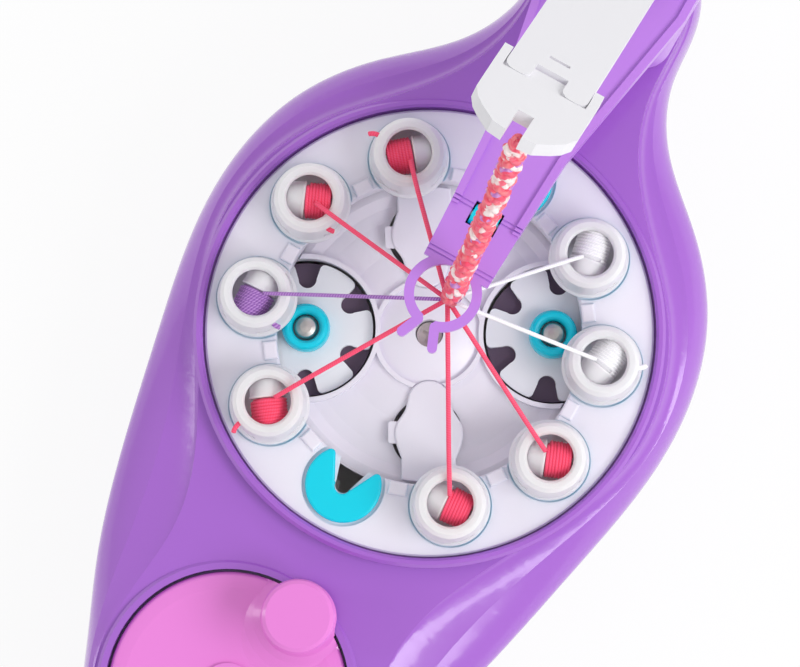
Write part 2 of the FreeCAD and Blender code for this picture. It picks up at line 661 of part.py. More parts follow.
# Spools: a housing with a stem, and a bobbin lying across it with its thread wound to one side
spool_base = fork_top
housing_top = spool_base + spool_height
cavity_top = housing_top - spool_rim_thickness
stem_bottom = star_height + side_gap
bobbin_z = spool_base + bobbin_axis_height
pivot_depth = 1.0
wound_end = wound_start + wound_length
bobbin_reach = spool_cavity_radius + pivot_depth
for number, (angle, direction) in enumerate(spools, 1):
    place = polar(station_radius, angle)
    housing = revolved([(0, spool_base), (spool_base_radius, spool_base), (spool_base_radius, spool_base + 1.6),
                        (spool_base_radius - 0.7, spool_base + 2.4), (spool_rim_radius, housing_top - 1.2),
                        (spool_rim_radius - 1.2, housing_top), (spool_mouth_radius + 0.8, housing_top),
                        (spool_mouth_radius, housing_top - 0.8), (spool_mouth_radius, cavity_top),
                        (spool_cavity_radius, cavity_top), (spool_cavity_radius, spool_base + spool_floor),
                        (0, spool_base + spool_floor)])
    housing = housing.fuse(cylinder(stem_radius, stem_bottom, spool_base + 0.5))
    axis = polar(1, direction)
    socket = Part.makeCylinder(bobbin_shaft_radius + running_gap, 2 * bobbin_reach + 0.4,
                               axis * -(bobbin_reach + 0.2) + vec(0, 0, bobbin_z), axis)
    housing = housing.cut(socket)
    window = block(spool_cavity_radius - 1, spool_base_radius + 1, -3.5, 3.5, spool_base + 3, spool_base + 5.5)
    for quarter in (45, 135, 225, 315):
        housing = housing.cut(turned(window, direction + quarter))
    housing.translate(place)
    save("spool_housing_%d" % number, housing)

    def across(radius, start, length):
        solid = Part.makeCylinder(radius, length, axis * start + vec(0, 0, bobbin_z), axis)
        solid.translate(place)
        return solid

    core = across(bobbin_shaft_radius, -bobbin_reach, 2 * bobbin_reach)
    flange_start = wound_start - bobbin_flange_thickness
    core = core.fuse(across(bobbin_flange_radius, flange_start, bobbin_flange_thickness))
    wound = across(wound_radius, wound_start, wound_length)
    wound = wound.cut(across(bobbin_shaft_radius, wound_start - 1, wound_length + 2))
    save("bobbin_%d" % number, core, wound)

# Running threads: taut from each bobbin over its mouth to the point where the braid forms
fell = vec(0, fell_setback, arm_height - arm_thickness - fell_drop)
fell_ring = braid_diameter / 2 + 0.4
thread_radius = thread_diameter / 2
thread_groups = {"pink": [], "purple": [], "white": []}
for (angle, direction), colour in zip(spools, thread_colours):
    place = polar(station_radius, angle)
    inwards = (vec(fell.x, fell.y) - place).normalize()
    start = place + inwards * 2.5 + vec(0, 0, bobbin_z + wound_radius + thread_radius + touch)
    end = vec(fell.x, fell.y, fell.z) - inwards * fell_ring + vec(0, 0, -thread_diameter)
    length = start.distanceToPoint(end)
    thread_groups[colour].append(Part.makeCylinder(thread_radius, length, start, end - start))
for colour, group in thread_groups.items():
    save("threads_" + colour, *group)

# Crank: a dished disc with a lobe under the knob, on a shaft down to its gear
crank_top = crank_rim_height
knob_at = polar(knob_offset, knob_angle)
lobe_radius = knob_radius - 1.0
disc = cylinder(crank_radius, crank_underside, crank_top)
disc = disc.makeFillet(1.5, [edge for edge in disc.Edges if edge.BoundBox.ZMin > crank_top - 0.01])
dish_radius = ((crank_radius - 5) ** 2 + crank_dish ** 2) / (2 * crank_dish)
disc = disc.cut(Part.makeSphere(dish_radius, vec(0, 0, crank_top - crank_dish + dish_radius)))
lobe_low = crank_collar_top + side_gap
knob_low = lobe_low + 4.0
dish_bottom = crank_top - crank_dish
swoop_reach = 25.0            # from the knob to where its concave ramp meets the dish
swoop_width = swoop_reach - lobe_radius
swoop_rise = knob_low - dish_bottom
ramp = [math.radians(step) for step in range(90, -1, -15)]
swoop = revolved([(0, dish_bottom)]
                 + [(swoop_reach - swoop_width * math.cos(t), knob_low - swoop_rise * math.sin(t))
                    for t in ramp]
                 + [(0, knob_low)])
swoop.translate(knob_at)
disc_edge = crank_radius - 0.2
flare = cylinder(disc_edge, lobe_low, knob_low).fuse(cylinder(knob_radius, lobe_low, knob_low, knob_at))
flare = flare.makeFillet(8.0, [edge for edge in flare.Edges if is_outer_upright(edge, disc_edge)
                               and abs(edge.CenterOfMass.sub(knob_at + vec(0, 0, edge.CenterOfMass.z)).Length
                                       - knob_radius) < 0.1])
disc = disc.multiFuse([swoop.common(cylinder(disc_edge, crank_underside, knob_low + 1)), swoop.common(flare)])
hub_radius = 9.0
disc = disc.fuse(cylinder(hub_radius, crank_top - crank_dish - 1, crank_top - crank_dish + 1.2))
screw_seat = crank_top - crank_dish - 0.6
disc = disc.cut(cylinder(screw_head_radius + 0.4, screw_seat, crank_top + 2))
disc = disc.cut(cylinder(screw_radius + 0.2, crank_underside - 1, crank_top))
disc = disc.cut(cylinder(knob_pin_radius, crank_underside + 2, knob_low + 1, knob_at))
disc.translate(crank_at)
save("crank_disc", disc)
shaft = cylinder(shaft_radius, chassis_height, crank_underside, crank_at)
save("crank_shaft", shaft.cut(cylinder(screw_radius, crank_underside - 10, crank_underside + 1, crank_at)))
crank_phase = 90.0
crank_gear = gear(crank_teeth, drive_module, crank_phase, drive_height, drive_thickness, crank_at)
crank_gear = crank_gear.fuse(cylinder(hub_radius, drive_top - 1, drive_top + 4, crank_at))
crank_gear = crank_gear.fuse(cylinder(hub_radius, plate_top + touch, drive_height + 1, crank_at))
save("crank_gear", crank_gear.cut(cylinder(shaft_radius, plate_top, drive_top + 5, crank_at)))
crank_screw = cylinder(screw_head_radius, screw_seat, screw_seat + 1.4, crank_at)
shank = cylinder(screw_radius - running_gap, crank_underside - 8, screw_seat + 1, crank_at)
crank_screw = crank_screw.fuse(shank)
save("crank_screw", crank_screw)
pin_top = knob_low + knob_height - 4
knob_pin = cylinder(knob_pin_radius, crank_underside + 2, pin_top, crank_at + knob_at)
save("knob_pin", knob_pin)
knob_foot = knob_low + side_gap
knob_top = knob_low + knob_height
knob = revolved([(0, knob_foot), (knob_radius - 3.5, knob_foot), (knob_radius - 4.0, knob_foot + 3.0),
                 (knob_radius - 2.5, knob_top - 5.0), (knob_radius - 0.3, knob_top - 3.4),
                 (knob_radius, knob_top - 2.0), (knob_radius - 0.5, knob_top - 0.8),
                 (knob_radius - 1.6, knob_top), (0, knob_top)], crank_at + knob_at)
knob_bore = cylinder(knob_pin_radius + running_gap, knob_low, pin_top + 0.3, crank_at + knob_at)
save("crank_knob", knob.cut(knob_bore))

idler_phase = 90.0
idler = gear(idler_teeth, drive_module, idler_phase, drive_height, drive_thickness, idler_at)
idler = idler.fuse(cylinder(6.0, plate_top + touch, drive_top + 1, idler_at))
save("idler_gear", idler.cut(cylinder(idler_axle_radius + running_gap, plate_top, drive_top + 2, idler_at)))
idler_axle = cylinder(idler_axle_radius, chassis_height, drive_top + 2, idler_at)
axle_head = cylinder(idler_axle_radius + 1.5, drive_top + 1 + touch, drive_top + 2.5, idler_at)
save("idler_axle", idler_axle.fuse(axle_head))

# Braid arm: hook eye, flat top and side flanges, with the front half of the mast
arm_low = arm_height - arm_thickness
eye_at = vec(0, eye_setback)
arm_points = [vec(arm_tip_half_width, eye_setback + eye_radius - 1),
              vec(arm_tip_half_width + 0.7, roller_setback),
              vec(arm_tip_half_width + 2.2, 61), vec(arm_root_half_width, mast_front + 12),
              vec(arm_root_half_width, pivot_setback - 4)]


def mirrored(points):
    return points + [vec(-p.x, p.y) for p in reversed(points)]


arm_plate = prism(polygon(mirrored(arm_points)), arm_low, arm_height)
inner_arm = [vec(p.x - wall, p.y - (5 if i == 0 else 0)) for i, p in enumerate(arm_points)]
flange_low_at = arm_height - arm_rise_depth
rim = prism(polygon(mirrored(arm_points[1:])), flange_low_at, arm_height + 1.2)
rim = rim.cut(prism(polygon(mirrored([inner_arm[1] - vec(0, 5)] + inner_arm[2:4] + [inner_arm[4] + vec(0, 5)])),
                    flange_low_at - 1, arm_height + 2))
eye = tube(eye_radius + eye_band, eye_radius, arm_low, arm_height, eye_at)
finger_start = eye_at + vec(eye_gap / 2 + 0.8, -(eye_radius + eye_band / 2))
finger_end = vec(finger_start.x + 2.4, finger_start.y - 5.8)
eye = eye.cut(block(-eye_gap / 2, eye_gap / 2, -20, eye_setback, arm_low - 1, arm_height + 1))
finger_half = eye_band / 2
along = (finger_end - finger_start).normalize()
across_finger = vec(-along.y, along.x) * finger_half
finger = prism(polygon([finger_start + across_finger, finger_end + across_finger, finger_end - across_finger,
                        finger_start - across_finger]), arm_low, arm_height)
finger = finger.fuse(cylinder(finger_half, arm_low, arm_height, finger_end))
finger = finger.fuse(cylinder(finger_half, arm_low, arm_height, finger_start))
arm_plate = arm_plate.cut(cylinder(eye_radius, arm_low - 1, arm_height + 1, eye_at))
mast_levels = [(mast_base_height, mast_half_width, mast_front, mast_back),
               (mast_base_height + 20, mast_half_width - 0.5, mast_front + 5, mast_back + 0.5),
               (arm_height - 8, arm_root_half_width - 0.4, mast_front + 8, mast_back + 1.5),
               (arm_height, arm_root_half_width, mast_front + 9, mast_back + 2)]


def mast_form(thickness):
    rings = []
    for height, half, front, back in mast_levels:
        low = height - (thickness if height == arm_height else 0)
        rings.append(mast_section(half - thickness, front + thickness, back - thickness, low))
    return Part.makeLoft(rings, True)


mast = mast_form(0).cut(mast_form(wall))
split = pivot_setback - 4
cheek_inside = lever_half_width + washer_thickness + touch
cheek_outside = cheek_inside + cheek_thickness
cheek_radius = lever_pin_radius + 4.5
cheeks = []
for side in (1, -1):
    low_x, high_x = sorted((side * cheek_inside, side * cheek_outside))
    cheek_at = vec(low_x, pivot_setback, pivot_height)
    cheek = Part.makeCylinder(cheek_radius, cheek_thickness, cheek_at, vec(1, 0, 0))
    foot = block(low_x, high_x, pivot_setback - cheek_radius, pivot_setback + cheek_radius, arm_height - 1,
                 pivot_height)
    cheeks.append(cheek.fuse(foot))
boss_places = [(x, z) for z in (mast_base_height + 12, arm_height - 9) for x in (15.0, -15.0)]
bosses = [Part.makeCylinder(3.4, 26, vec(x, split - 13, z), vec(0, 1, 0)) for x, z in boss_places]
mast = mast.multiFuse([boss.common(mast_form(0)) for boss in bosses])
front_half = mast.common(block(-60, 60, 0, split, 0, 200))
rear_half = mast.common(block(-60, 60, split, 200, 0, 200))
arm = arm_plate.multiFuse([rim.cut(mast_form(wall)), eye, finger,
                           finger.mirror(vec(0, 0), vec(1, 0)), front_half] + cheeks)
slot_x = roller_length / 2 + roller_slot_gap
slot_y = roller_radius + roller_slot_gap
arm = arm.cut(block(-slot_x, slot_x, roller_setback - slot_y, roller_setback + slot_y, arm_low - 1,
                    arm_height + 1))
arm = arm.cut(block(-slot_x - 2.3, slot_x + 2.3, roller_setback - 1.5, roller_setback + 1.5, arm_low - 1,
                    arm_height - 1.2))
groove = 0.5
for bend in (eye_setback + eye_radius + 0.8, roller_setback + 0.8):
    for y in (bend, bend + 1.4):
        arm = arm.cut(block(-arm_root_half_width, arm_root_half_width, y, y + groove, arm_height - groove,
                            arm_height + 2))
pin_hole = Part.makeCylinder(lever_pin_radius, 80, vec(-40, pivot_setback, pivot_height), vec(1, 0, 0))
arm = arm.cut(pin_hole)
for x, z in boss_places:
    arm = arm.cut(Part.makeCylinder(screw_radius, 10, vec(x, split - 10, z), vec(0, 1, 0)))
    seat = Part.makeCylinder(screw_head_radius + 0.3, 20, vec(x, split + 9, z), vec(0, 1, 0))
    rear_half = rear_half.cut(seat).cut(Part.makeCylinder(screw_hole, 20, vec(x, split - 1, z), vec(0, 1, 0)))
arm = max(arm.removeSplitter().Solids, key=lambda solid: solid.Volume)
save("braid_arm", arm)
rear_half = rear_half.cut(fused(cheeks))
rear_half = max(rear_half.Solids, key=lambda solid: solid.Volume)
save("mast_cover", rear_half)
screws = []
for x, z in boss_places:
    head = Part.makeCylinder(screw_head_radius, screw_head_height, vec(x, split + 9, z), vec(0, 1, 0))
    shank = Part.makeCylinder(screw_radius - running_gap, 17, vec(x, split - 7.5, z), vec(0, 1, 0))
    screws.append(head.fuse(shank))
save("mast_screws", *screws)

# Guide roller in its bracket under the slot
roller_z = arm_height + 0.6 - roller_radius
roller_at = vec(-roller_length / 2, roller_setback, roller_z)
roller = Part.makeCylinder(roller_radius, roller_length, roller_at, vec(1, 0, 0))
bore = Part.makeCylinder(roller_axle_radius + running_gap, 40, vec(-20, roller_setback, roller_z), vec(1, 0, 0))
save("guide_roller", roller.cut(bore))
bracket_x = slot_x + 2.0
bracket_low = roller_z - roller_radius - 2.5
bracket = block(-bracket_x, bracket_x, roller_setback - slot_y - 2, roller_setback + slot_y + 2, bracket_low,
                arm_low)
bracket = bracket.cut(block(-slot_x, slot_x, roller_setback - slot_y, roller_setback + slot_y,
                            bracket_low + 1.5, arm_low + 1))
axle_hole = Part.makeCylinder(roller_axle_radius, 40, vec(-20, roller_setback, roller_z), vec(1, 0, 0))
save("roller_bracket", bracket.cut(axle_hole))
roller_axle = Part.makeCylinder(roller_axle_radius, 2 * bracket_x, vec(-bracket_x, roller_setback, roller_z),
                                vec(1, 0, 0))
save("roller_axle", roller_axle)

# Take-up lever, drawn lying forwards from its pivot and then raised
pivot = vec(0, pivot_setback, pivot_height)


def raised(shape):
    copy = shape.copy()
    copy.translate(pivot)
    copy.rotate(pivot, vec(-1, 0, 0), lever_rest_angle)
    return copy


half = lever_half_width
lever = block(-half, half, -lever_length, 0, -lever_thickness / 2, lever_thickness / 2)
for side in (1, -1):
    low_x, high_x = sorted((side * half, side * (half - 2)))
    lever = lever.fuse(block(low_x, high_x, -clip_start + 2, 0, -lever_flange, lever_thickness / 2))
barrel = Part.makeCylinder(lever_barrel_radius, 2 * half, vec(-half, 0, 0), vec(1, 0, 0))
lever = lever.fuse(barrel)
tongue_end = clip_start - touch
tongue_gap = 5.0              # half the space between the two tongues over the clip
lever = lever.cut(block(-half - 1, half + 1, -lever_length - 1, -tongue_end, -20, 0.0))
lever = lever.cut(block(-tongue_gap, tongue_gap, -lever_length - 1, -clip_start + 1, -20, 20))
lever = lever.makeFillet(3.2, [edge for edge in lever.Edges if edge.BoundBox.YMax < 0.01 - lever_length
                               and edge.BoundBox.ZLength > 1])
lever = lever.cut(Part.makeCylinder(lever_pin_radius + running_gap, 60, vec(-30, 0, 0), vec(1, 0, 0)))
lever = lever.cut(block(-3.3, 3.3, -clip_start + 6.4, -clip_start + 7.6, -10, 10))
lever = lever.removeSplitter()
save("take_up_lever", raised(lever))
clip_end = clip_start + clip_length
clip_low = -clip_thickness
clip_points = [vec(-clip_half_width, -clip_start), vec(-0.99 * clip_half_width, -clip_end + 11.5),
               vec(-0.87 * clip_half_width, -clip_end + 7.5), vec(-0.72 * clip_half_width, -clip_end + 4.8),
               vec(-0.43 * clip_half_width, -clip_end + 0.7), vec(-clip_notch_width / 2, -clip_end)]
notch_points = [vec(-clip_notch_width / 2, -clip_end + clip_notch_depth)]
clip_outline = clip_points + notch_points + [vec(-p.x, p.y) for p in reversed(clip_points + notch_points)]
clip = prism(polygon(clip_outline), clip_low, 0)
clip_step = -lever_length - touch
clip = clip.fuse(prism(polygon([vec(-clip_half_width, clip_step)] + clip_outline[1:-1]
                               + [vec(clip_half_width, clip_step)]), -0.5, lever_thickness / 2))
ear_inside = half + touch
for side in (1, -1):
    low_x, high_x = sorted((side * ear_inside, side * clip_half_width))
    clip = clip.fuse(block(low_x, high_x, -clip_start - 8, -clip_start + 2.5, clip_low, lever_thickness / 2))
save("braid_clip", raised(clip))
pin_start = pivot - vec(cheek_outside, 0, 0)
lever_pin = Part.makeCylinder(lever_pin_radius, 2 * cheek_outside, pin_start, vec(1, 0, 0))
save("lever_pin", lever_pin)
washers = []
for side in (1, -1):
    washer = Part.makeCylinder(cheek_radius - 1.5, washer_thickness, vec(0, 0, 0), vec(1, 0, 0))
    washer = washer.cut(Part.makeCylinder(lever_pin_radius + running_gap, 4, vec(-1, 0, 0), vec(1, 0, 0)))
    low_x = half + touch if side == 1 else -half - touch - washer_thickness
    washer.translate(vec(low_x, pivot_setback, pivot_height))
    washers.append(washer)
save("friction_washers", *washers)

# Finished braid, taut from the fell up to the clip
turn = math.radians(lever_rest_angle)
hold = clip_start + clip_length - 6
grip = pivot + vec(0, -math.cos(turn), math.sin(turn)) * hold
grip = grip - vec(0, math.sin(turn), math.cos(turn)) * clip_thickness
braid_line = (grip - fell).normalize()
braid_end = grip - braid_line * (braid_diameter / 2)
save("braid", Part.makeCylinder(braid_diameter / 2, fell.distanceToPoint(braid_end), fell, braid_line))
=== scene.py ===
import json
import math
import random

import bpy
from mathutils import Matrix, Vector


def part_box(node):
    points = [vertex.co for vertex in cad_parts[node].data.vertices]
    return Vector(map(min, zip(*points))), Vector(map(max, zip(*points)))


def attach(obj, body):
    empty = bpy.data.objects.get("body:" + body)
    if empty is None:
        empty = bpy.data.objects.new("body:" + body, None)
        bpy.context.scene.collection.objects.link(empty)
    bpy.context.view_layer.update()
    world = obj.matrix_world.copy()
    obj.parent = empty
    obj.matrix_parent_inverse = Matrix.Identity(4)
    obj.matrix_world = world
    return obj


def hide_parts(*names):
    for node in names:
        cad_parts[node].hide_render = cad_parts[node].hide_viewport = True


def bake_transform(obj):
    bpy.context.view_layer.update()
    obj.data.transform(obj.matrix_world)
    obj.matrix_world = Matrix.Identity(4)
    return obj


# The kumihimo machine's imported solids, in metres. It stands on its feet at height zero, with the crank
# end at -Y and the mast at +Y.
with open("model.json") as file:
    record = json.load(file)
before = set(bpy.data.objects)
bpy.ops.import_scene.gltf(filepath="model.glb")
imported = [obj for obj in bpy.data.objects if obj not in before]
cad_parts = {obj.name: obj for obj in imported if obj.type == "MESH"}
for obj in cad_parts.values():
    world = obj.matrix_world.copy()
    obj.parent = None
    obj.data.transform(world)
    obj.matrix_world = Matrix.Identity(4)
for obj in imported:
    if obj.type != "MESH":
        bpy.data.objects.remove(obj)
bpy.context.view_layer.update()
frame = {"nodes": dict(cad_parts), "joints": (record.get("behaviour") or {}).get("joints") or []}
nodes = frame["nodes"]

# Studio: a white table under soft light, strongest from above at the right, as for a catalogue picture.
# The camera hangs high over the deck, turned so that the machine lies aslant in the picture. To the
# camera and in reflections the table glows almost white, so that it keeps only faint shadows.
scene = bpy.context.scene
world = bpy.data.worlds.new("studio")
scene.world = world
world.use_nodes = True
sky = world.node_tree.nodes["Background"]
sky.inputs["Color"].default_value = (1, 1, 1, 1)
sky.inputs["Strength"].default_value = 0.64


def add_object(name, data):
    holder = bpy.data.objects.new(name, data)
    scene.collection.objects.link(holder)
    return holder


def softbox(name, place, size, power):
    lamp = bpy.data.lights.new(name, "AREA")
    lamp.shape = "RECTANGLE"
    lamp.size, lamp.size_y = size
    lamp.energy = power
    lit_point = Vector((0, 0, 0.05))
    holder = add_object(name, lamp)
    holder.location = place
    holder.rotation_euler = (lit_point - Vector(place)).to_track_quat("-Z", "Y").to_euler()


softbox("key_softbox", (1.05, 0.10, 1.15), (0.9, 0.7), 12.0)
softbox("left_softbox", (-1.0, -0.5, 0.55), (0.2, 0.9), 1.8)
softbox("back_softbox", (0.1, 1.1, 0.9), (1.0, 0.3), 2.0)


def new_material(name):
    material = bpy.data.materials.new(name)
    material.use_nodes = True
    tree = material.node_tree
    return material, tree, tree.nodes["Principled BSDF"]


def feed(tree, socket, value):
    """Give a socket a constant, or link it to another node's output."""
    if isinstance(value, bpy.types.NodeSocket):
        tree.links.new(value, socket)
    else:
        socket.default_value = value


def maths(tree, operation, *values):
    """The output of a Math node whose values are constants or other nodes' outputs."""
    node = tree.nodes.new("ShaderNodeMath")
    node.operation = operation
    for socket, value in zip(node.inputs, values):
        feed(tree, socket, value)
    return node.outputs[0]


def new_piece(name, points, faces, material):
    mesh = bpy.data.meshes.new(name)
    mesh.from_pydata([tuple(point) for point in points], [], faces)
    mesh.materials.append(material)
    return add_object(name, mesh)


white_table, tree, shader = new_material("white_table")
shader.inputs["Base Color"].default_value = (0.92, 0.92, 0.93, 1)
shader.inputs["Roughness"].default_value = 0.9
glow = tree.nodes.new("ShaderNodeEmission")
glow.inputs["Color"].default_value = (1, 1, 1, 1)
glow_share = 0.9
rays = tree.nodes.new("ShaderNodeLightPath")
seen = maths(tree, "MAXIMUM", rays.outputs["Is Camera Ray"], rays.outputs["Is Glossy Ray"])
mix = tree.nodes.new("ShaderNodeMixShader")
tree.links.new(maths(tree, "MULTIPLY", seen, glow_share), mix.inputs["Fac"])
tree.links.new(shader.outputs["BSDF"], mix.inputs[1])
tree.links.new(glow.outputs["Emission"], mix.inputs[2])
tree.links.new(mix.outputs["Shader"], tree.nodes["Material Output"].inputs["Surface"])
table_reach = 3.0
table = new_piece("table_top", [(-table_reach, -table_reach, 0), (table_reach, -table_reach, 0),
                                (table_reach, table_reach, 0), (-table_reach, table_reach, 0)],
                  [(0, 1, 2, 3)], white_table)
table.location.z = -0.0002                # just under the feet

rotor_low, rotor_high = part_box("rotor_gear")
deck_centre = (Vector(rotor_low) + Vector(rotor_high)) / 2
rib_rise = 0.0012                         # of the deck ring's ribs above the deck's face
deck_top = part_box("deck_ring")[1][2] - rib_rise
camera_data = bpy.data.cameras.new("catalogue_camera")
camera_data.sensor_fit = "HORIZONTAL"
camera_data.sensor_width = 36.0
camera_data.lens = 155.5
camera_data.clip_end = 20.0
camera = add_object("catalogue_camera", camera_data)
scene.camera = camera
eye = Vector((0.050, deck_centre.y - 0.0906, deck_top + 1.080))
aim = Vector((-0.0078, deck_centre.y - 0.0050, deck_top))
roll = math.radians(29.3)                 # between the picture's horizontal and the machine's +X
backward = (eye - aim).normalized()
rightward = Vector((math.cos(roll), math.sin(roll), 0))
rightward = (rightward - backward * rightward.dot(backward)).normalized()
upward = backward.cross(rightward)
turned = Matrix((rightward, upward, backward)).transposed().to_4x4()
camera.matrix_world = Matrix.Translation(eye) @ turned
scene.view_settings.view_transform = "Standard"


# Casing: two glossy purple shells of moulded plastic, split at their widest line and screwed together
# from below. The plastic has a faint swirl in its colour and the fine ripple of a polished mould.
def linear(red, green, blue):
    """A colour as a picture editor gives it, 0 to 255, in the shader's linear light."""
    return tuple((c / 255 / 12.92) if c <= 10 else ((c / 255 + 0.055) / 1.055) ** 2.4
                 for c in (red, green, blue)) + (1.0,)


def effect_group(name, inputs, outputs):
    """An empty node group with its sockets, and the nodes inside it that hold them."""
    group = bpy.data.node_groups.new(name, "ShaderNodeTree")
    for label, kind, value in inputs:
        socket = group.interface.new_socket(name=label, in_out="INPUT", socket_type="NodeSocket" + kind)
        socket.default_value = value
    for label, kind in outputs:
        group.interface.new_socket(name=label, in_out="OUTPUT", socket_type="NodeSocket" + kind)
    return group, group.nodes.new("NodeGroupInput"), group.nodes.new("NodeGroupOutput")


def noise(tree, place, scale, detail):
    texture = tree.nodes.new("ShaderNodeTexNoise")
    texture.inputs["Detail"].default_value = detail
    feed(tree, texture.inputs["Scale"], scale)
    tree.links.new(place, texture.inputs["Vector"])
    return texture.outputs["Fac"]


def colour_between(tree, share, first, second):
    mixer = tree.nodes.new("ShaderNodeMix")
    mixer.data_type = "RGBA"
    tree.links.new(share, mixer.inputs["Factor"])
    tree.links.new(first, mixer.inputs["A"])
    tree.links.new(second, mixer.inputs["B"])
    return mixer.outputs["Result"]


finish_outputs = [("Color", "Color"), ("Roughness", "Float"), ("Height", "Float")]
moulding, given, result = effect_group(
    "moulding",
    [("Color", "Color", (0.5, 0.5, 0.5, 1)), ("Shade", "Color", (0.4, 0.4, 0.4, 1)),
     ("Swirl", "Float", 0.5), ("Swirl scale", "Float", 9.0), ("Ripple", "Float", 0.3),
     ("Roughness", "Float", 0.3)],
    finish_outputs)
solid_place = moulding.nodes.new("ShaderNodeTexCoord").outputs["Object"]
cloud = noise(moulding, solid_place, given.outputs["Swirl scale"], detail=3.0)
fine_ripple = noise(moulding, solid_place, scale=900.0, detail=2.0)
swirled = maths(moulding, "MULTIPLY", cloud, given.outputs["Swirl"])
coloured = colour_between(moulding, swirled, given.outputs["Color"], given.outputs["Shade"])
clouded_roughness = 0.08
roughened = maths(moulding, "MULTIPLY_ADD", cloud, clouded_roughness, given.outputs["Roughness"])
rippled = maths(moulding, "MULTIPLY", fine_ripple, given.outputs["Ripple"])
moulding.links.new(coloured, result.inputs["Color"])
moulding.links.new(roughened, result.inputs["Roughness"])
moulding.links.new(rippled, result.inputs["Height"])


def relief_finish(name, group, settings, strength, distance):
    """A material whose colour, roughness and relief come from a node group with the given settings."""
    material, tree, shader = new_material(name)
    effect = tree.nodes.new("ShaderNodeGroup")
    effect.node_tree = group
    for label, value in settings.items():
        effect.inputs[label].default_value = value
    bump = tree.nodes.new("ShaderNodeBump")
    bump.inputs["Strength"].default_value = strength
    bump.inputs["Distance"].default_value = distance
    tree.links.new(effect.outputs["Color"], shader.inputs["Base Color"])
    tree.links.new(effect.outputs["Roughness"], shader.inputs["Roughness"])
    tree.links.new(effect.outputs["Height"], bump.inputs["Height"])
    tree.links.new(bump.outputs["Normal"], shader.inputs["Normal"])
    return material, shader


def plain_finish(name, main, shade, roughness, swirl=0.5, swirl_scale=9.0, ripple=0.3, gloss=0.5,
                 coat=0.0, soft=0.0, metallic=0.0):
    """The finish of a moulded or turned piece. Soft is how milky it is, gloss how much it reflects."""
    settings = {"Color": linear(*main), "Shade": linear(*shade), "Swirl": swirl,
                "Swirl scale": swirl_scale, "Ripple": ripple, "Roughness": roughness}
    material, shader = relief_finish(name, moulding, settings, strength=0.12, distance=0.0002)
    shader.inputs["Specular IOR Level"].default_value = gloss
    shader.inputs["Coat Weight"].default_value = coat
    shader.inputs["Coat Roughness"].default_value = 0.08
    shader.inputs["Subsurface Weight"].default_value = soft
    shader.inputs["Subsurface Scale"].default_value = 0.008
    shader.inputs["Subsurface Radius"].default_value = (1.0, 0.85, 0.95)
    shader.inputs["Metallic"].default_value = metallic
    return material


def finish_nodes(material, *names):
    for name in names:
        mesh = nodes[name].data
        mesh.materials.clear()
        mesh.materials.append(material)


purple_casing = plain_finish("purple_casing", (168, 101, 208), (154, 88, 196), roughness=0.18, coat=0.5)
finish_nodes(purple_casing, "upper_shell", "lower_shell")

# Feet: four pads of soft dark rubber under the casing, pushed into the lower shell, so that the machine
# stays in its place while the crank is turned.
foot_rubber = plain_finish("foot_rubber", (60, 56, 64), (48, 44, 52), roughness=0.75, ripple=1.0)
finish_nodes(foot_rubber, "rubber_feet")

# Inner frame and gears: pale acetal mouldings on a chassis plate, mostly hidden under the rotor. The
# planet gears and the roller's bracket are of a darker plastic. Pins, axles and screws are turned steel
# with fine streaks.
gear_white = plain_finish("gear_white", (226, 224, 220), (210, 208, 204), roughness=0.45)
finish_nodes(gear_white, "chassis_plate", "ring_gear", "rotor_gear", "idler_gear", "crank_gear",
             "friction_washers")
dark_moulding = plain_finish("dark_moulding", (92, 74, 96), (74, 58, 78), roughness=0.5)
finish_nodes(dark_moulding, "planet_gear_left", "planet_gear_right", "roller_bracket")
turned_steel = plain_finish("turned_steel", (226, 220, 215), (176, 171, 168), roughness=0.42, swirl=1.0,
                            swirl_scale=420.0, ripple=1.0, metallic=1.0)
finish_nodes(turned_steel, "shell_screws", "chassis_screws", "mast_screws", "roller_axle", "idler_axle",
             "rotor_screw", "lever_pin", "star_pin_left", "star_pin_right", "crank_shaft", "crank_screw",
             "knob_pin")

# Deck: a white moulded ring with ten stations, and the rotor floor that turns inside it with its two
# star wheels and petal gates. The C-shaped station forks, the star wheels' collars and the guide roller
# are teal.
deck_white = plain_finish("deck_white", (240, 237, 247), (230, 226, 240), roughness=0.3, soft=0.1)
finish_nodes(deck_white, "deck_ring", "rotor_floor", "gate_petals")
star_white = plain_finish("star_white", (240, 242, 246), (233, 234, 239), roughness=0.4)
finish_nodes(star_white, "star_wheel_left", "star_wheel_right")
teal_gloss = plain_finish("teal_gloss", (6, 214, 236), (0, 202, 228), roughness=0.22, soft=0.15,
                          gloss=0.35)
finish_nodes(teal_gloss, "station_forks", "collar_left", "collar_right", "guide_roller")

# Crank: a dished pink disc in the well at the casing's crank end, and the knob that it is turned by. Both
# are glossy mouldings, held by a steel screw and a steel pin.
crank_pink = plain_finish("crank_pink", (234, 132, 219), (226, 121, 210), roughness=0.2, coat=0.4)
finish_nodes(crank_pink, "crank_disc", "crank_knob")

# Arm, mast and lever: the purple arm carries the hook eye over the deck and is one moulding with the
# front of the mast, which a cover closes. The white lever on the mast holds the braid by its clip.
arm_purple = plain_finish("arm_purple", (194, 133, 231), (184, 122, 223), roughness=0.28)
finish_nodes(arm_purple, "braid_arm", "mast_cover")
lever_white = plain_finish("lever_white", (233, 232, 236), (225, 224, 229), roughness=0.4)
finish_nodes(lever_white, "take_up_lever", "braid_clip")

# Spools: eight housings of white, slightly milky plastic, with an open mouth at the top. They stand in
# the stations by their stems, and each holds a small bobbin.
spool_white = plain_finish("spool_white", (246, 242, 248), (238, 234, 243), roughness=0.3, soft=0.6)
finish_nodes(spool_white, *["spool_housing_%d" % number for number in range(1, 9)])

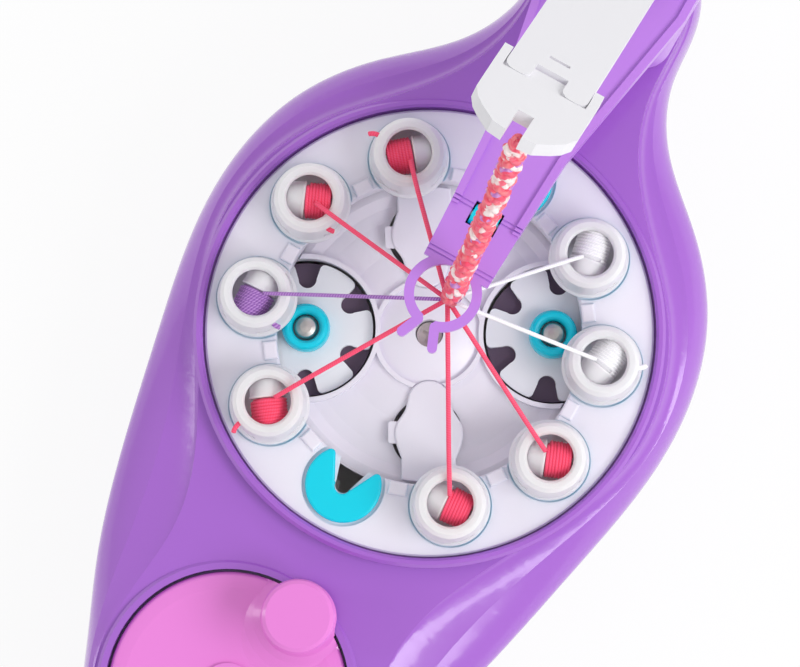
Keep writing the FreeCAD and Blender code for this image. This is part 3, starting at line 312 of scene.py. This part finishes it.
# Bobbins: a light drum with a flange on a crosswise pin in each spool. Thread is wound in close turns on
# one side of the flange, so that it shows in one half of the mouth. It is polyester, twisted from
# several plies, and a fine diagonal relief follows the twist. Its colour is painted darker in the grooves
# of the twist, as painted shade.
thread_twist, given, result = effect_group(
    "thread_twist",
    [("Color", "Color", (0.5, 0.5, 0.5, 1)), ("Shade", "Color", (0.4, 0.4, 0.4, 1)),
     ("Lay", "Float", 1.0), ("Plies", "Float", 3.0), ("Fleck", "Color", (1, 1, 1, 1)),
     ("Fleck level", "Float", 2.0), ("Fleck scale", "Float", 300.0)],
    finish_outputs)
strip_place = thread_twist.nodes.new("ShaderNodeUVMap")
strip_place.uv_map = "along"
split = thread_twist.nodes.new("ShaderNodeSeparateXYZ")
thread_twist.links.new(strip_place.outputs["UV"], split.inputs[0])
along = maths(thread_twist, "MULTIPLY", split.outputs["Y"], given.outputs["Lay"])
around = maths(thread_twist, "MULTIPLY", split.outputs["X"], given.outputs["Plies"])
turns = maths(thread_twist, "ADD", along, around)
wave = maths(thread_twist, "SINE", maths(thread_twist, "MULTIPLY", turns, 2 * math.pi))
ply_range = thread_twist.nodes.new("ShaderNodeMapRange")
ply_range.inputs["From Min"].default_value = -1.0
thread_twist.links.new(wave, ply_range.inputs["Value"])
ply_height = ply_range.outputs["Result"]
# painted shade: the Shade colour is laid where the twist's relief is low, in the grooves between plies
groove_shaded_colour = colour_between(thread_twist, ply_height, given.outputs["Shade"], given.outputs["Color"])
solid_place = thread_twist.nodes.new("ShaderNodeTexCoord").outputs["Object"]
fibres = noise(thread_twist, solid_place, scale=2600.0, detail=3.0)
fibre_relief = 0.45
relief = maths(thread_twist, "MULTIPLY_ADD", fibres, fibre_relief, ply_height)
spots = noise(thread_twist, solid_place, given.outputs["Fleck scale"], detail=1.0)
fleck_sharpness = 25.0
past_level = maths(thread_twist, "SUBTRACT", spots, given.outputs["Fleck level"])
flecked = maths(thread_twist, "MULTIPLY", past_level, fleck_sharpness)
flecked.node.use_clamp = True
coloured = colour_between(thread_twist, flecked, groove_shaded_colour, given.outputs["Fleck"])
fibre_roughness, least_roughness = 0.25, 0.42
roughened = maths(thread_twist, "MULTIPLY_ADD", fibres, fibre_roughness, least_roughness)
thread_twist.links.new(coloured, result.inputs["Color"])
thread_twist.links.new(roughened, result.inputs["Roughness"])
thread_twist.links.new(relief, result.inputs["Height"])


# The shade colour is painted shade, which the twist lays in its grooves.
def thread_finish(name, main, shade, lay, plies=2.0, depth=0.00005, fleck=(255, 255, 255),
                  fleck_level=2.0, fleck_scale=300.0):
    """Lay is in turns per millimetre. A fleck level above 1 leaves the flecks out."""
    settings = {"Color": linear(*main), "Shade": linear(*shade), "Lay": lay, "Plies": plies,
                "Fleck": linear(*fleck), "Fleck level": fleck_level, "Fleck scale": fleck_scale}
    material, shader = relief_finish(name, thread_twist, settings, strength=0.7, distance=depth)
    shader.inputs["Sheen Weight"].default_value = 0.12
    shader.inputs["Sheen Roughness"].default_value = 0.5
    return material


def spoke(side, other, turn):
    """The direction at an angle round an axis, from two directions square to it and to each other."""
    return side * math.cos(turn) + other * math.sin(turn)


def heading(path, i):
    """The direction of a path at one of its points."""
    return (path[min(i + 1, len(path) - 1)] - path[max(i - 1, 0)]).normalized()


def swept(paths, radius, sides):
    """Points and faces of round tubes along paths, with an (around, along) pair per face corner."""
    points, faces, corners = [], [], []
    for path in paths:
        first = len(points)
        normal = heading(path, 0).orthogonal().normalized()
        runs = [0.0]
        for i, here in enumerate(path):
            ahead = heading(path, i)
            normal = (normal - ahead * normal.dot(ahead)).normalized()
            side = ahead.cross(normal)
            if i:
                runs.append(runs[-1] + (here - path[i - 1]).length)
            for k in range(sides):
                points.append(here + spoke(normal, side, 2 * math.pi * k / sides) * radius)
        for i in range(len(path) - 1):
            for k in range(sides):
                a, b = first + i * sides + k, first + i * sides + (k + 1) % sides
                faces.append((a, b, b + sides, a + sides))
                corners.append(((k / sides, runs[i]), ((k + 1) / sides, runs[i]),
                                ((k + 1) / sides, runs[i + 1]), (k / sides, runs[i + 1])))
        for ring, flip in ((first, True), (first + (len(path) - 1) * sides, False)):
            cap = tuple(range(ring, ring + sides))
            faces.append(tuple(reversed(cap)) if flip else cap)
            corners.append(tuple((0.0, 0.0) for _ in cap))
    return points, faces, corners


def tubes(name, paths, radius, material, sides=10):
    """One piece of round tubes, whose UV map holds turns around and millimetres along."""
    points, faces, corners = swept(paths, radius, sides)
    piece = new_piece(name, points, faces, material)
    layer = piece.data.uv_layers.new(name="along")
    for face, pairs in zip(piece.data.polygons, corners):
        face.use_smooth = True
        for loop, (turned_by, run) in zip(face.loop_indices, pairs):
            layer.data[loop].uv = (turned_by, run * 1000)
    return piece


def turned_piece(name, profile, centre, axis, material, sides=40):
    """A turned piece from (distance along the axis, radius) points."""
    side = axis.orthogonal().normalized()
    other = axis.cross(side)
    points = [centre + axis * x + spoke(side, other, 2 * math.pi * k / sides) * r
              for x, r in profile for k in range(sides)]
    faces = []
    for first in range(0, (len(profile) - 1) * sides, sides):
        for k in range(sides):
            a, b = first + k, first + (k + 1) % sides
            faces.append((a, b, b + sides, a + sides))
    faces.append(tuple(reversed(range(sides))))
    faces.append(tuple(range((len(profile) - 1) * sides, len(profile) * sides)))
    piece = new_piece(name, points, faces, material)
    for face in piece.data.polygons:
        face.use_smooth = len(face.vertices) == 4
    return piece


# Each thread's second colour is painted shade, which the twist lays in its grooves.
threads = {
    "pink": thread_finish("pink_thread", (255, 88, 126), (253, 66, 106), lay=1.3),
    "purple": thread_finish("purple_thread", (196, 146, 216), (142, 88, 178), lay=1.1),
    "white": thread_finish("white_thread", (252, 252, 253), (244, 244, 248), lay=1.3),
}
spool_colours = ["pink", "pink", "purple", "pink", "pink", "pink", "white", "white"]
hinges = {joint["name"]: joint for joint in frame["joints"]}
wound_radius = 0.00588
wound_from = -0.0015                      # along the pin, from the bobbin's middle
wound_length = 0.0084
turn_radius = 0.00056
turn_pitch = 0.00100
turn_points = 30
turn_count = int(wound_length / turn_pitch)
lowest_turn, highest_turn = -0.00012, 0.00010     # the winding is a little uneven
turn_centre = wound_radius - turn_radius - highest_turn
fill_from = wound_from + 0.0002           # a plain core under the turns, so that no gap shows
fill_to = wound_from + wound_length - 0.0003
fill_bore = 0.0015
fill_radius = wound_radius - 0.0010
fill_bevel = 0.0001
fill_profile = [(fill_from, fill_bore), (fill_from + fill_bevel, fill_radius),
                (fill_to - fill_bevel, fill_radius), (fill_to, fill_bore)]
pin_radius = 0.0012
pin_reach = 0.0104
drum_end = -0.0073
drum_radius = 0.0055
drum_bevel = 0.0005
flange_radius = 0.0059
flange_width = 0.0009
flange_round = 0.0002
flange_bevel = 0.0003
core_profile = [(-pin_reach, pin_radius), (drum_end, pin_radius), (drum_end, drum_radius - drum_bevel),
                (drum_end + drum_bevel, drum_radius),
                (wound_from - flange_width, flange_radius - flange_round),
                (wound_from - flange_width + flange_round, flange_radius),
                (wound_from - flange_round, flange_radius), (wound_from, flange_radius - flange_bevel),
                (wound_from, pin_radius), (pin_reach, pin_radius)]
random.seed(11)
for number, colour in enumerate(spool_colours, 1):
    hinge = hinges["bobbin_%d_spin" % number]
    centre = Vector(hinge["pos_m"])
    axis = Vector(hinge["axis"]).normalized()
    side = axis.orthogonal().normalized()
    other = axis.cross(side)
    lift = [random.uniform(lowest_turn, highest_turn) for _ in range(turn_count + 1)]
    wind = []
    for i in range(turn_count * turn_points):
        turned_by = i / turn_points
        low, high = lift[int(turned_by)], lift[int(turned_by) + 1]
        radius = turn_centre + low + (high - low) * (turned_by % 1)
        wind.append(centre + axis * (wound_from + turn_radius + turn_pitch * turned_by)
                    + spoke(side, other, 2 * math.pi * turned_by) * radius)
    wound = tubes("wound_thread_%d" % number, [wind], turn_radius, threads[colour], sides=8)
    fill = turned_piece("wound_fill_%d" % number, fill_profile, centre, axis, threads[colour])
    core = turned_piece("bobbin_core_%d" % number, core_profile, centre, axis, spool_white)
    for piece in (wound, fill, core):
        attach(piece, "bobbin_body_%d" % number)
    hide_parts("bobbin_%d" % number)

# Running threads: the bobbins' thread. Each leaves its bobbin over the housing's lip and runs taut to the
# fell, the point just under the hook eye where the braid forms. The pull draws it a little thinner.
braid_radius = 0.00365
braid_low, braid_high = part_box("braid")
fell = Vector((0.0, braid_low[1] + braid_radius * 0.95, braid_low[2] + braid_radius * 0.35))
aside = Vector((0.872, 0.489, 0)) * 0.0026        # the braid lies a little to one side in the eye
thread_radius = 0.00080
drawn_thin = {"pink": 0.95, "purple": 0.76, "white": 0.84}
top_shift = 0.0025                        # from a bobbin's middle to where the thread leaves it
lip_shift = 0.009                         # from a bobbin's middle to the lip of its housing
lip_gap = 0.0012
bedded_rise = thread_radius * 0.4         # of the thread's middle above the winding that it leaves
end_short, end_rise = 0.0004, 0.0006      # a thread ends this near to the fell, inside the braid's foot
thread_step = 0.0006


def spread(points, step):
    """Evenly spaced points along a smooth curve through the given ones."""
    curve = bpy.data.curves.new("guide", "CURVE")
    curve.dimensions = "3D"
    curve.resolution_u = 24
    line = curve.splines.new("NURBS")
    line.points.add(len(points) - 1)
    for slot, point in zip(line.points, points):
        slot.co = (*point, 1)
    line.order_u = 3
    line.use_endpoint_u = True
    holder = bpy.data.objects.new("guide", curve)
    flat = bpy.data.meshes.new_from_object(holder)
    dense = [vertex.co.copy() for vertex in flat.vertices]
    bpy.data.objects.remove(holder)
    even, gone = [dense[0]], 0.0
    for before, after in zip(dense, dense[1:]):
        gap = (after - before).length
        while gap and gone + gap >= step:
            before = before + (after - before) * ((step - gone) / gap)
            even.append(before.copy())
            gap = (after - before).length
            gone = 0.0
        gone += gap
    return even + [dense[-1]]


running = {"pink": [], "purple": [], "white": []}
for number, colour in enumerate(spool_colours, 1):
    centre = Vector(hinges["bobbin_%d_spin" % number]["pos_m"])
    inwards = Vector((fell.x - centre.x, fell.y - centre.y, 0)).normalized()
    leave = centre + inwards * top_shift + Vector((0, 0, wound_radius + bedded_rise))
    lip = centre + inwards * lip_shift
    lip.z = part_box("spool_housing_%d" % number)[1][2] + thread_radius + lip_gap
    end = fell + aside * 0.75 - inwards * end_short + Vector((0, 0, end_rise))
    running[colour].append(spread([leave, lip, (lip + end) / 2, end], thread_step))
for colour, lines in running.items():
    radius = thread_radius * drawn_thin[colour]
    piece = tubes("running_%s" % colour, lines, radius, threads[colour], sides=12)
    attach(piece, "root")
    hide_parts("threads_" + colour)

# Thread ends: the cut end of a bobbin's thread is caught in a slit of the spool's wall and sticks out of
# it a few millimetres. Five show. Each row has the spool's number, the angle from +X in degrees, the
# reach from the spool's middle and the drop below its top.
slit_shift = 0.0102                       # from a spool's middle to where the thread leaves the slit
tail_bend = 0.0012
tail_wave = 0.0004
tail_step = 0.0004
tails = ((1, 178, 0.0138, 0.0030), (4, 246, 0.0142, 0.0034), (2, -30, 0.0126, 0.0034),
         (3, -31, 0.0128, 0.0036), (7, 20, 0.0132, 0.0036))
for number, angle, out, drop in tails:
    low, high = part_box("spool_housing_%d" % number)
    heart = Vector(((low.x + high.x) / 2, (low.y + high.y) / 2, high.z))
    outwards = Vector((math.cos(math.radians(angle)), math.sin(math.radians(angle)), 0))
    curl = Vector((-outwards.y, outwards.x, 0)) * tail_bend
    ends = [heart + outwards * slit_shift + Vector((0, 0, -drop)),
            heart + outwards * (out - tail_bend) + Vector((0, 0, tail_wave - drop)),
            heart + outwards * out + curl + Vector((0, 0, -tail_wave - drop))]
    colour = spool_colours[number - 1]
    tail = tubes("thread_end_%d" % number, [spread(ends, tail_step)], thread_radius, threads[colour])
    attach(tail, "root")

# Braid: eight strands, four wound each way round, passing over and under each other, drawn up through
# the hook eye to the clip. It is thinner at both ends, and flecked, because the threads change places.
braided = {"lay": 0.5, "plies": 2.0, "depth": 0.0003}
# Each strand's second colour is painted shade, laid in the grooves of its twist.
strand_finishes = {
    "pink": thread_finish("braid_pink", (255, 118, 140), (248, 84, 114), **braided,
                          fleck=(255, 238, 236), fleck_level=0.585, fleck_scale=190.0),
    "coral": thread_finish("braid_coral", (255, 134, 142), (252, 100, 122), **braided,
                           fleck=(255, 238, 236), fleck_level=0.60, fleck_scale=190.0),
    "white": thread_finish("braid_white", (255, 232, 230), (253, 206, 208), **braided,
                           fleck=(255, 112, 136), fleck_level=0.44, fleck_scale=230.0),
    "lilac": thread_finish("braid_lilac", (220, 160, 222), (196, 120, 204), **braided,
                           fleck=(250, 76, 112), fleck_level=0.45, fleck_scale=260.0),
}
strand_colours = {1: ["pink", "white", "coral", "lilac"], -1: ["coral", "pink", "coral", "pink"]}
strand_radius = 0.00118
over = 0.00050                            # how far a strand swings out and in as it passes others
middle_radius = braid_radius - strand_radius - over
braid_turn = 0.0150                       # the length in which a strand goes once round
slack_reach = 0.00035
slack_points = 6
fell_width, fell_length = 0.45, 0.004     # how the braid widens from the fell and narrows to the clip
clip_width, clip_length = 0.35, 0.009
braid_step = 0.0005
bow = 1.1                                 # the braid leans aside a little more between its ends
top_inset = 0.0004
braid_top = Vector((0.0, braid_high[1] - braid_radius, braid_high[2] - top_inset))
spine = spread([fell + aside, fell.lerp(braid_top, 0.3) + aside * bow,
                fell.lerp(braid_top, 0.7) + aside * bow, braid_top + aside * 0.8], braid_step)
braids = {}
for hand, colours in strand_colours.items():
    for k, colour in enumerate(colours):
        slack = [random.uniform(-slack_reach, slack_reach) for _ in range(len(spine) // slack_points + 2)]
        strand = []
        for i, here in enumerate(spine):
            ahead = heading(spine, i)
            side = (Vector((1, 0, 0)) - ahead * ahead.x).normalized()
            other = ahead.cross(side)
            run, left = braid_step * i, braid_step * (len(spine) - 1 - i)
            turn = 2 * math.pi * run / braid_turn
            radius = middle_radius + hand * over * math.cos(len(colours) * turn)
            stretch, into = divmod(i, slack_points)
            radius += slack[stretch] + (slack[stretch + 1] - slack[stretch]) * into / slack_points
            radius *= min(1.0, fell_width + run / fell_length, clip_width + left / clip_length)
            angle = hand * turn + 2 * math.pi * k / len(colours)
            strand.append(here + spoke(side, other, angle) * radius)
        braids.setdefault(colour, []).append(strand)
for colour, strands in braids.items():
    piece = tubes("braid_" + colour, strands, strand_radius, strand_finishes[colour])
    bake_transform(piece)
    if colour == "pink":
        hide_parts("braid")
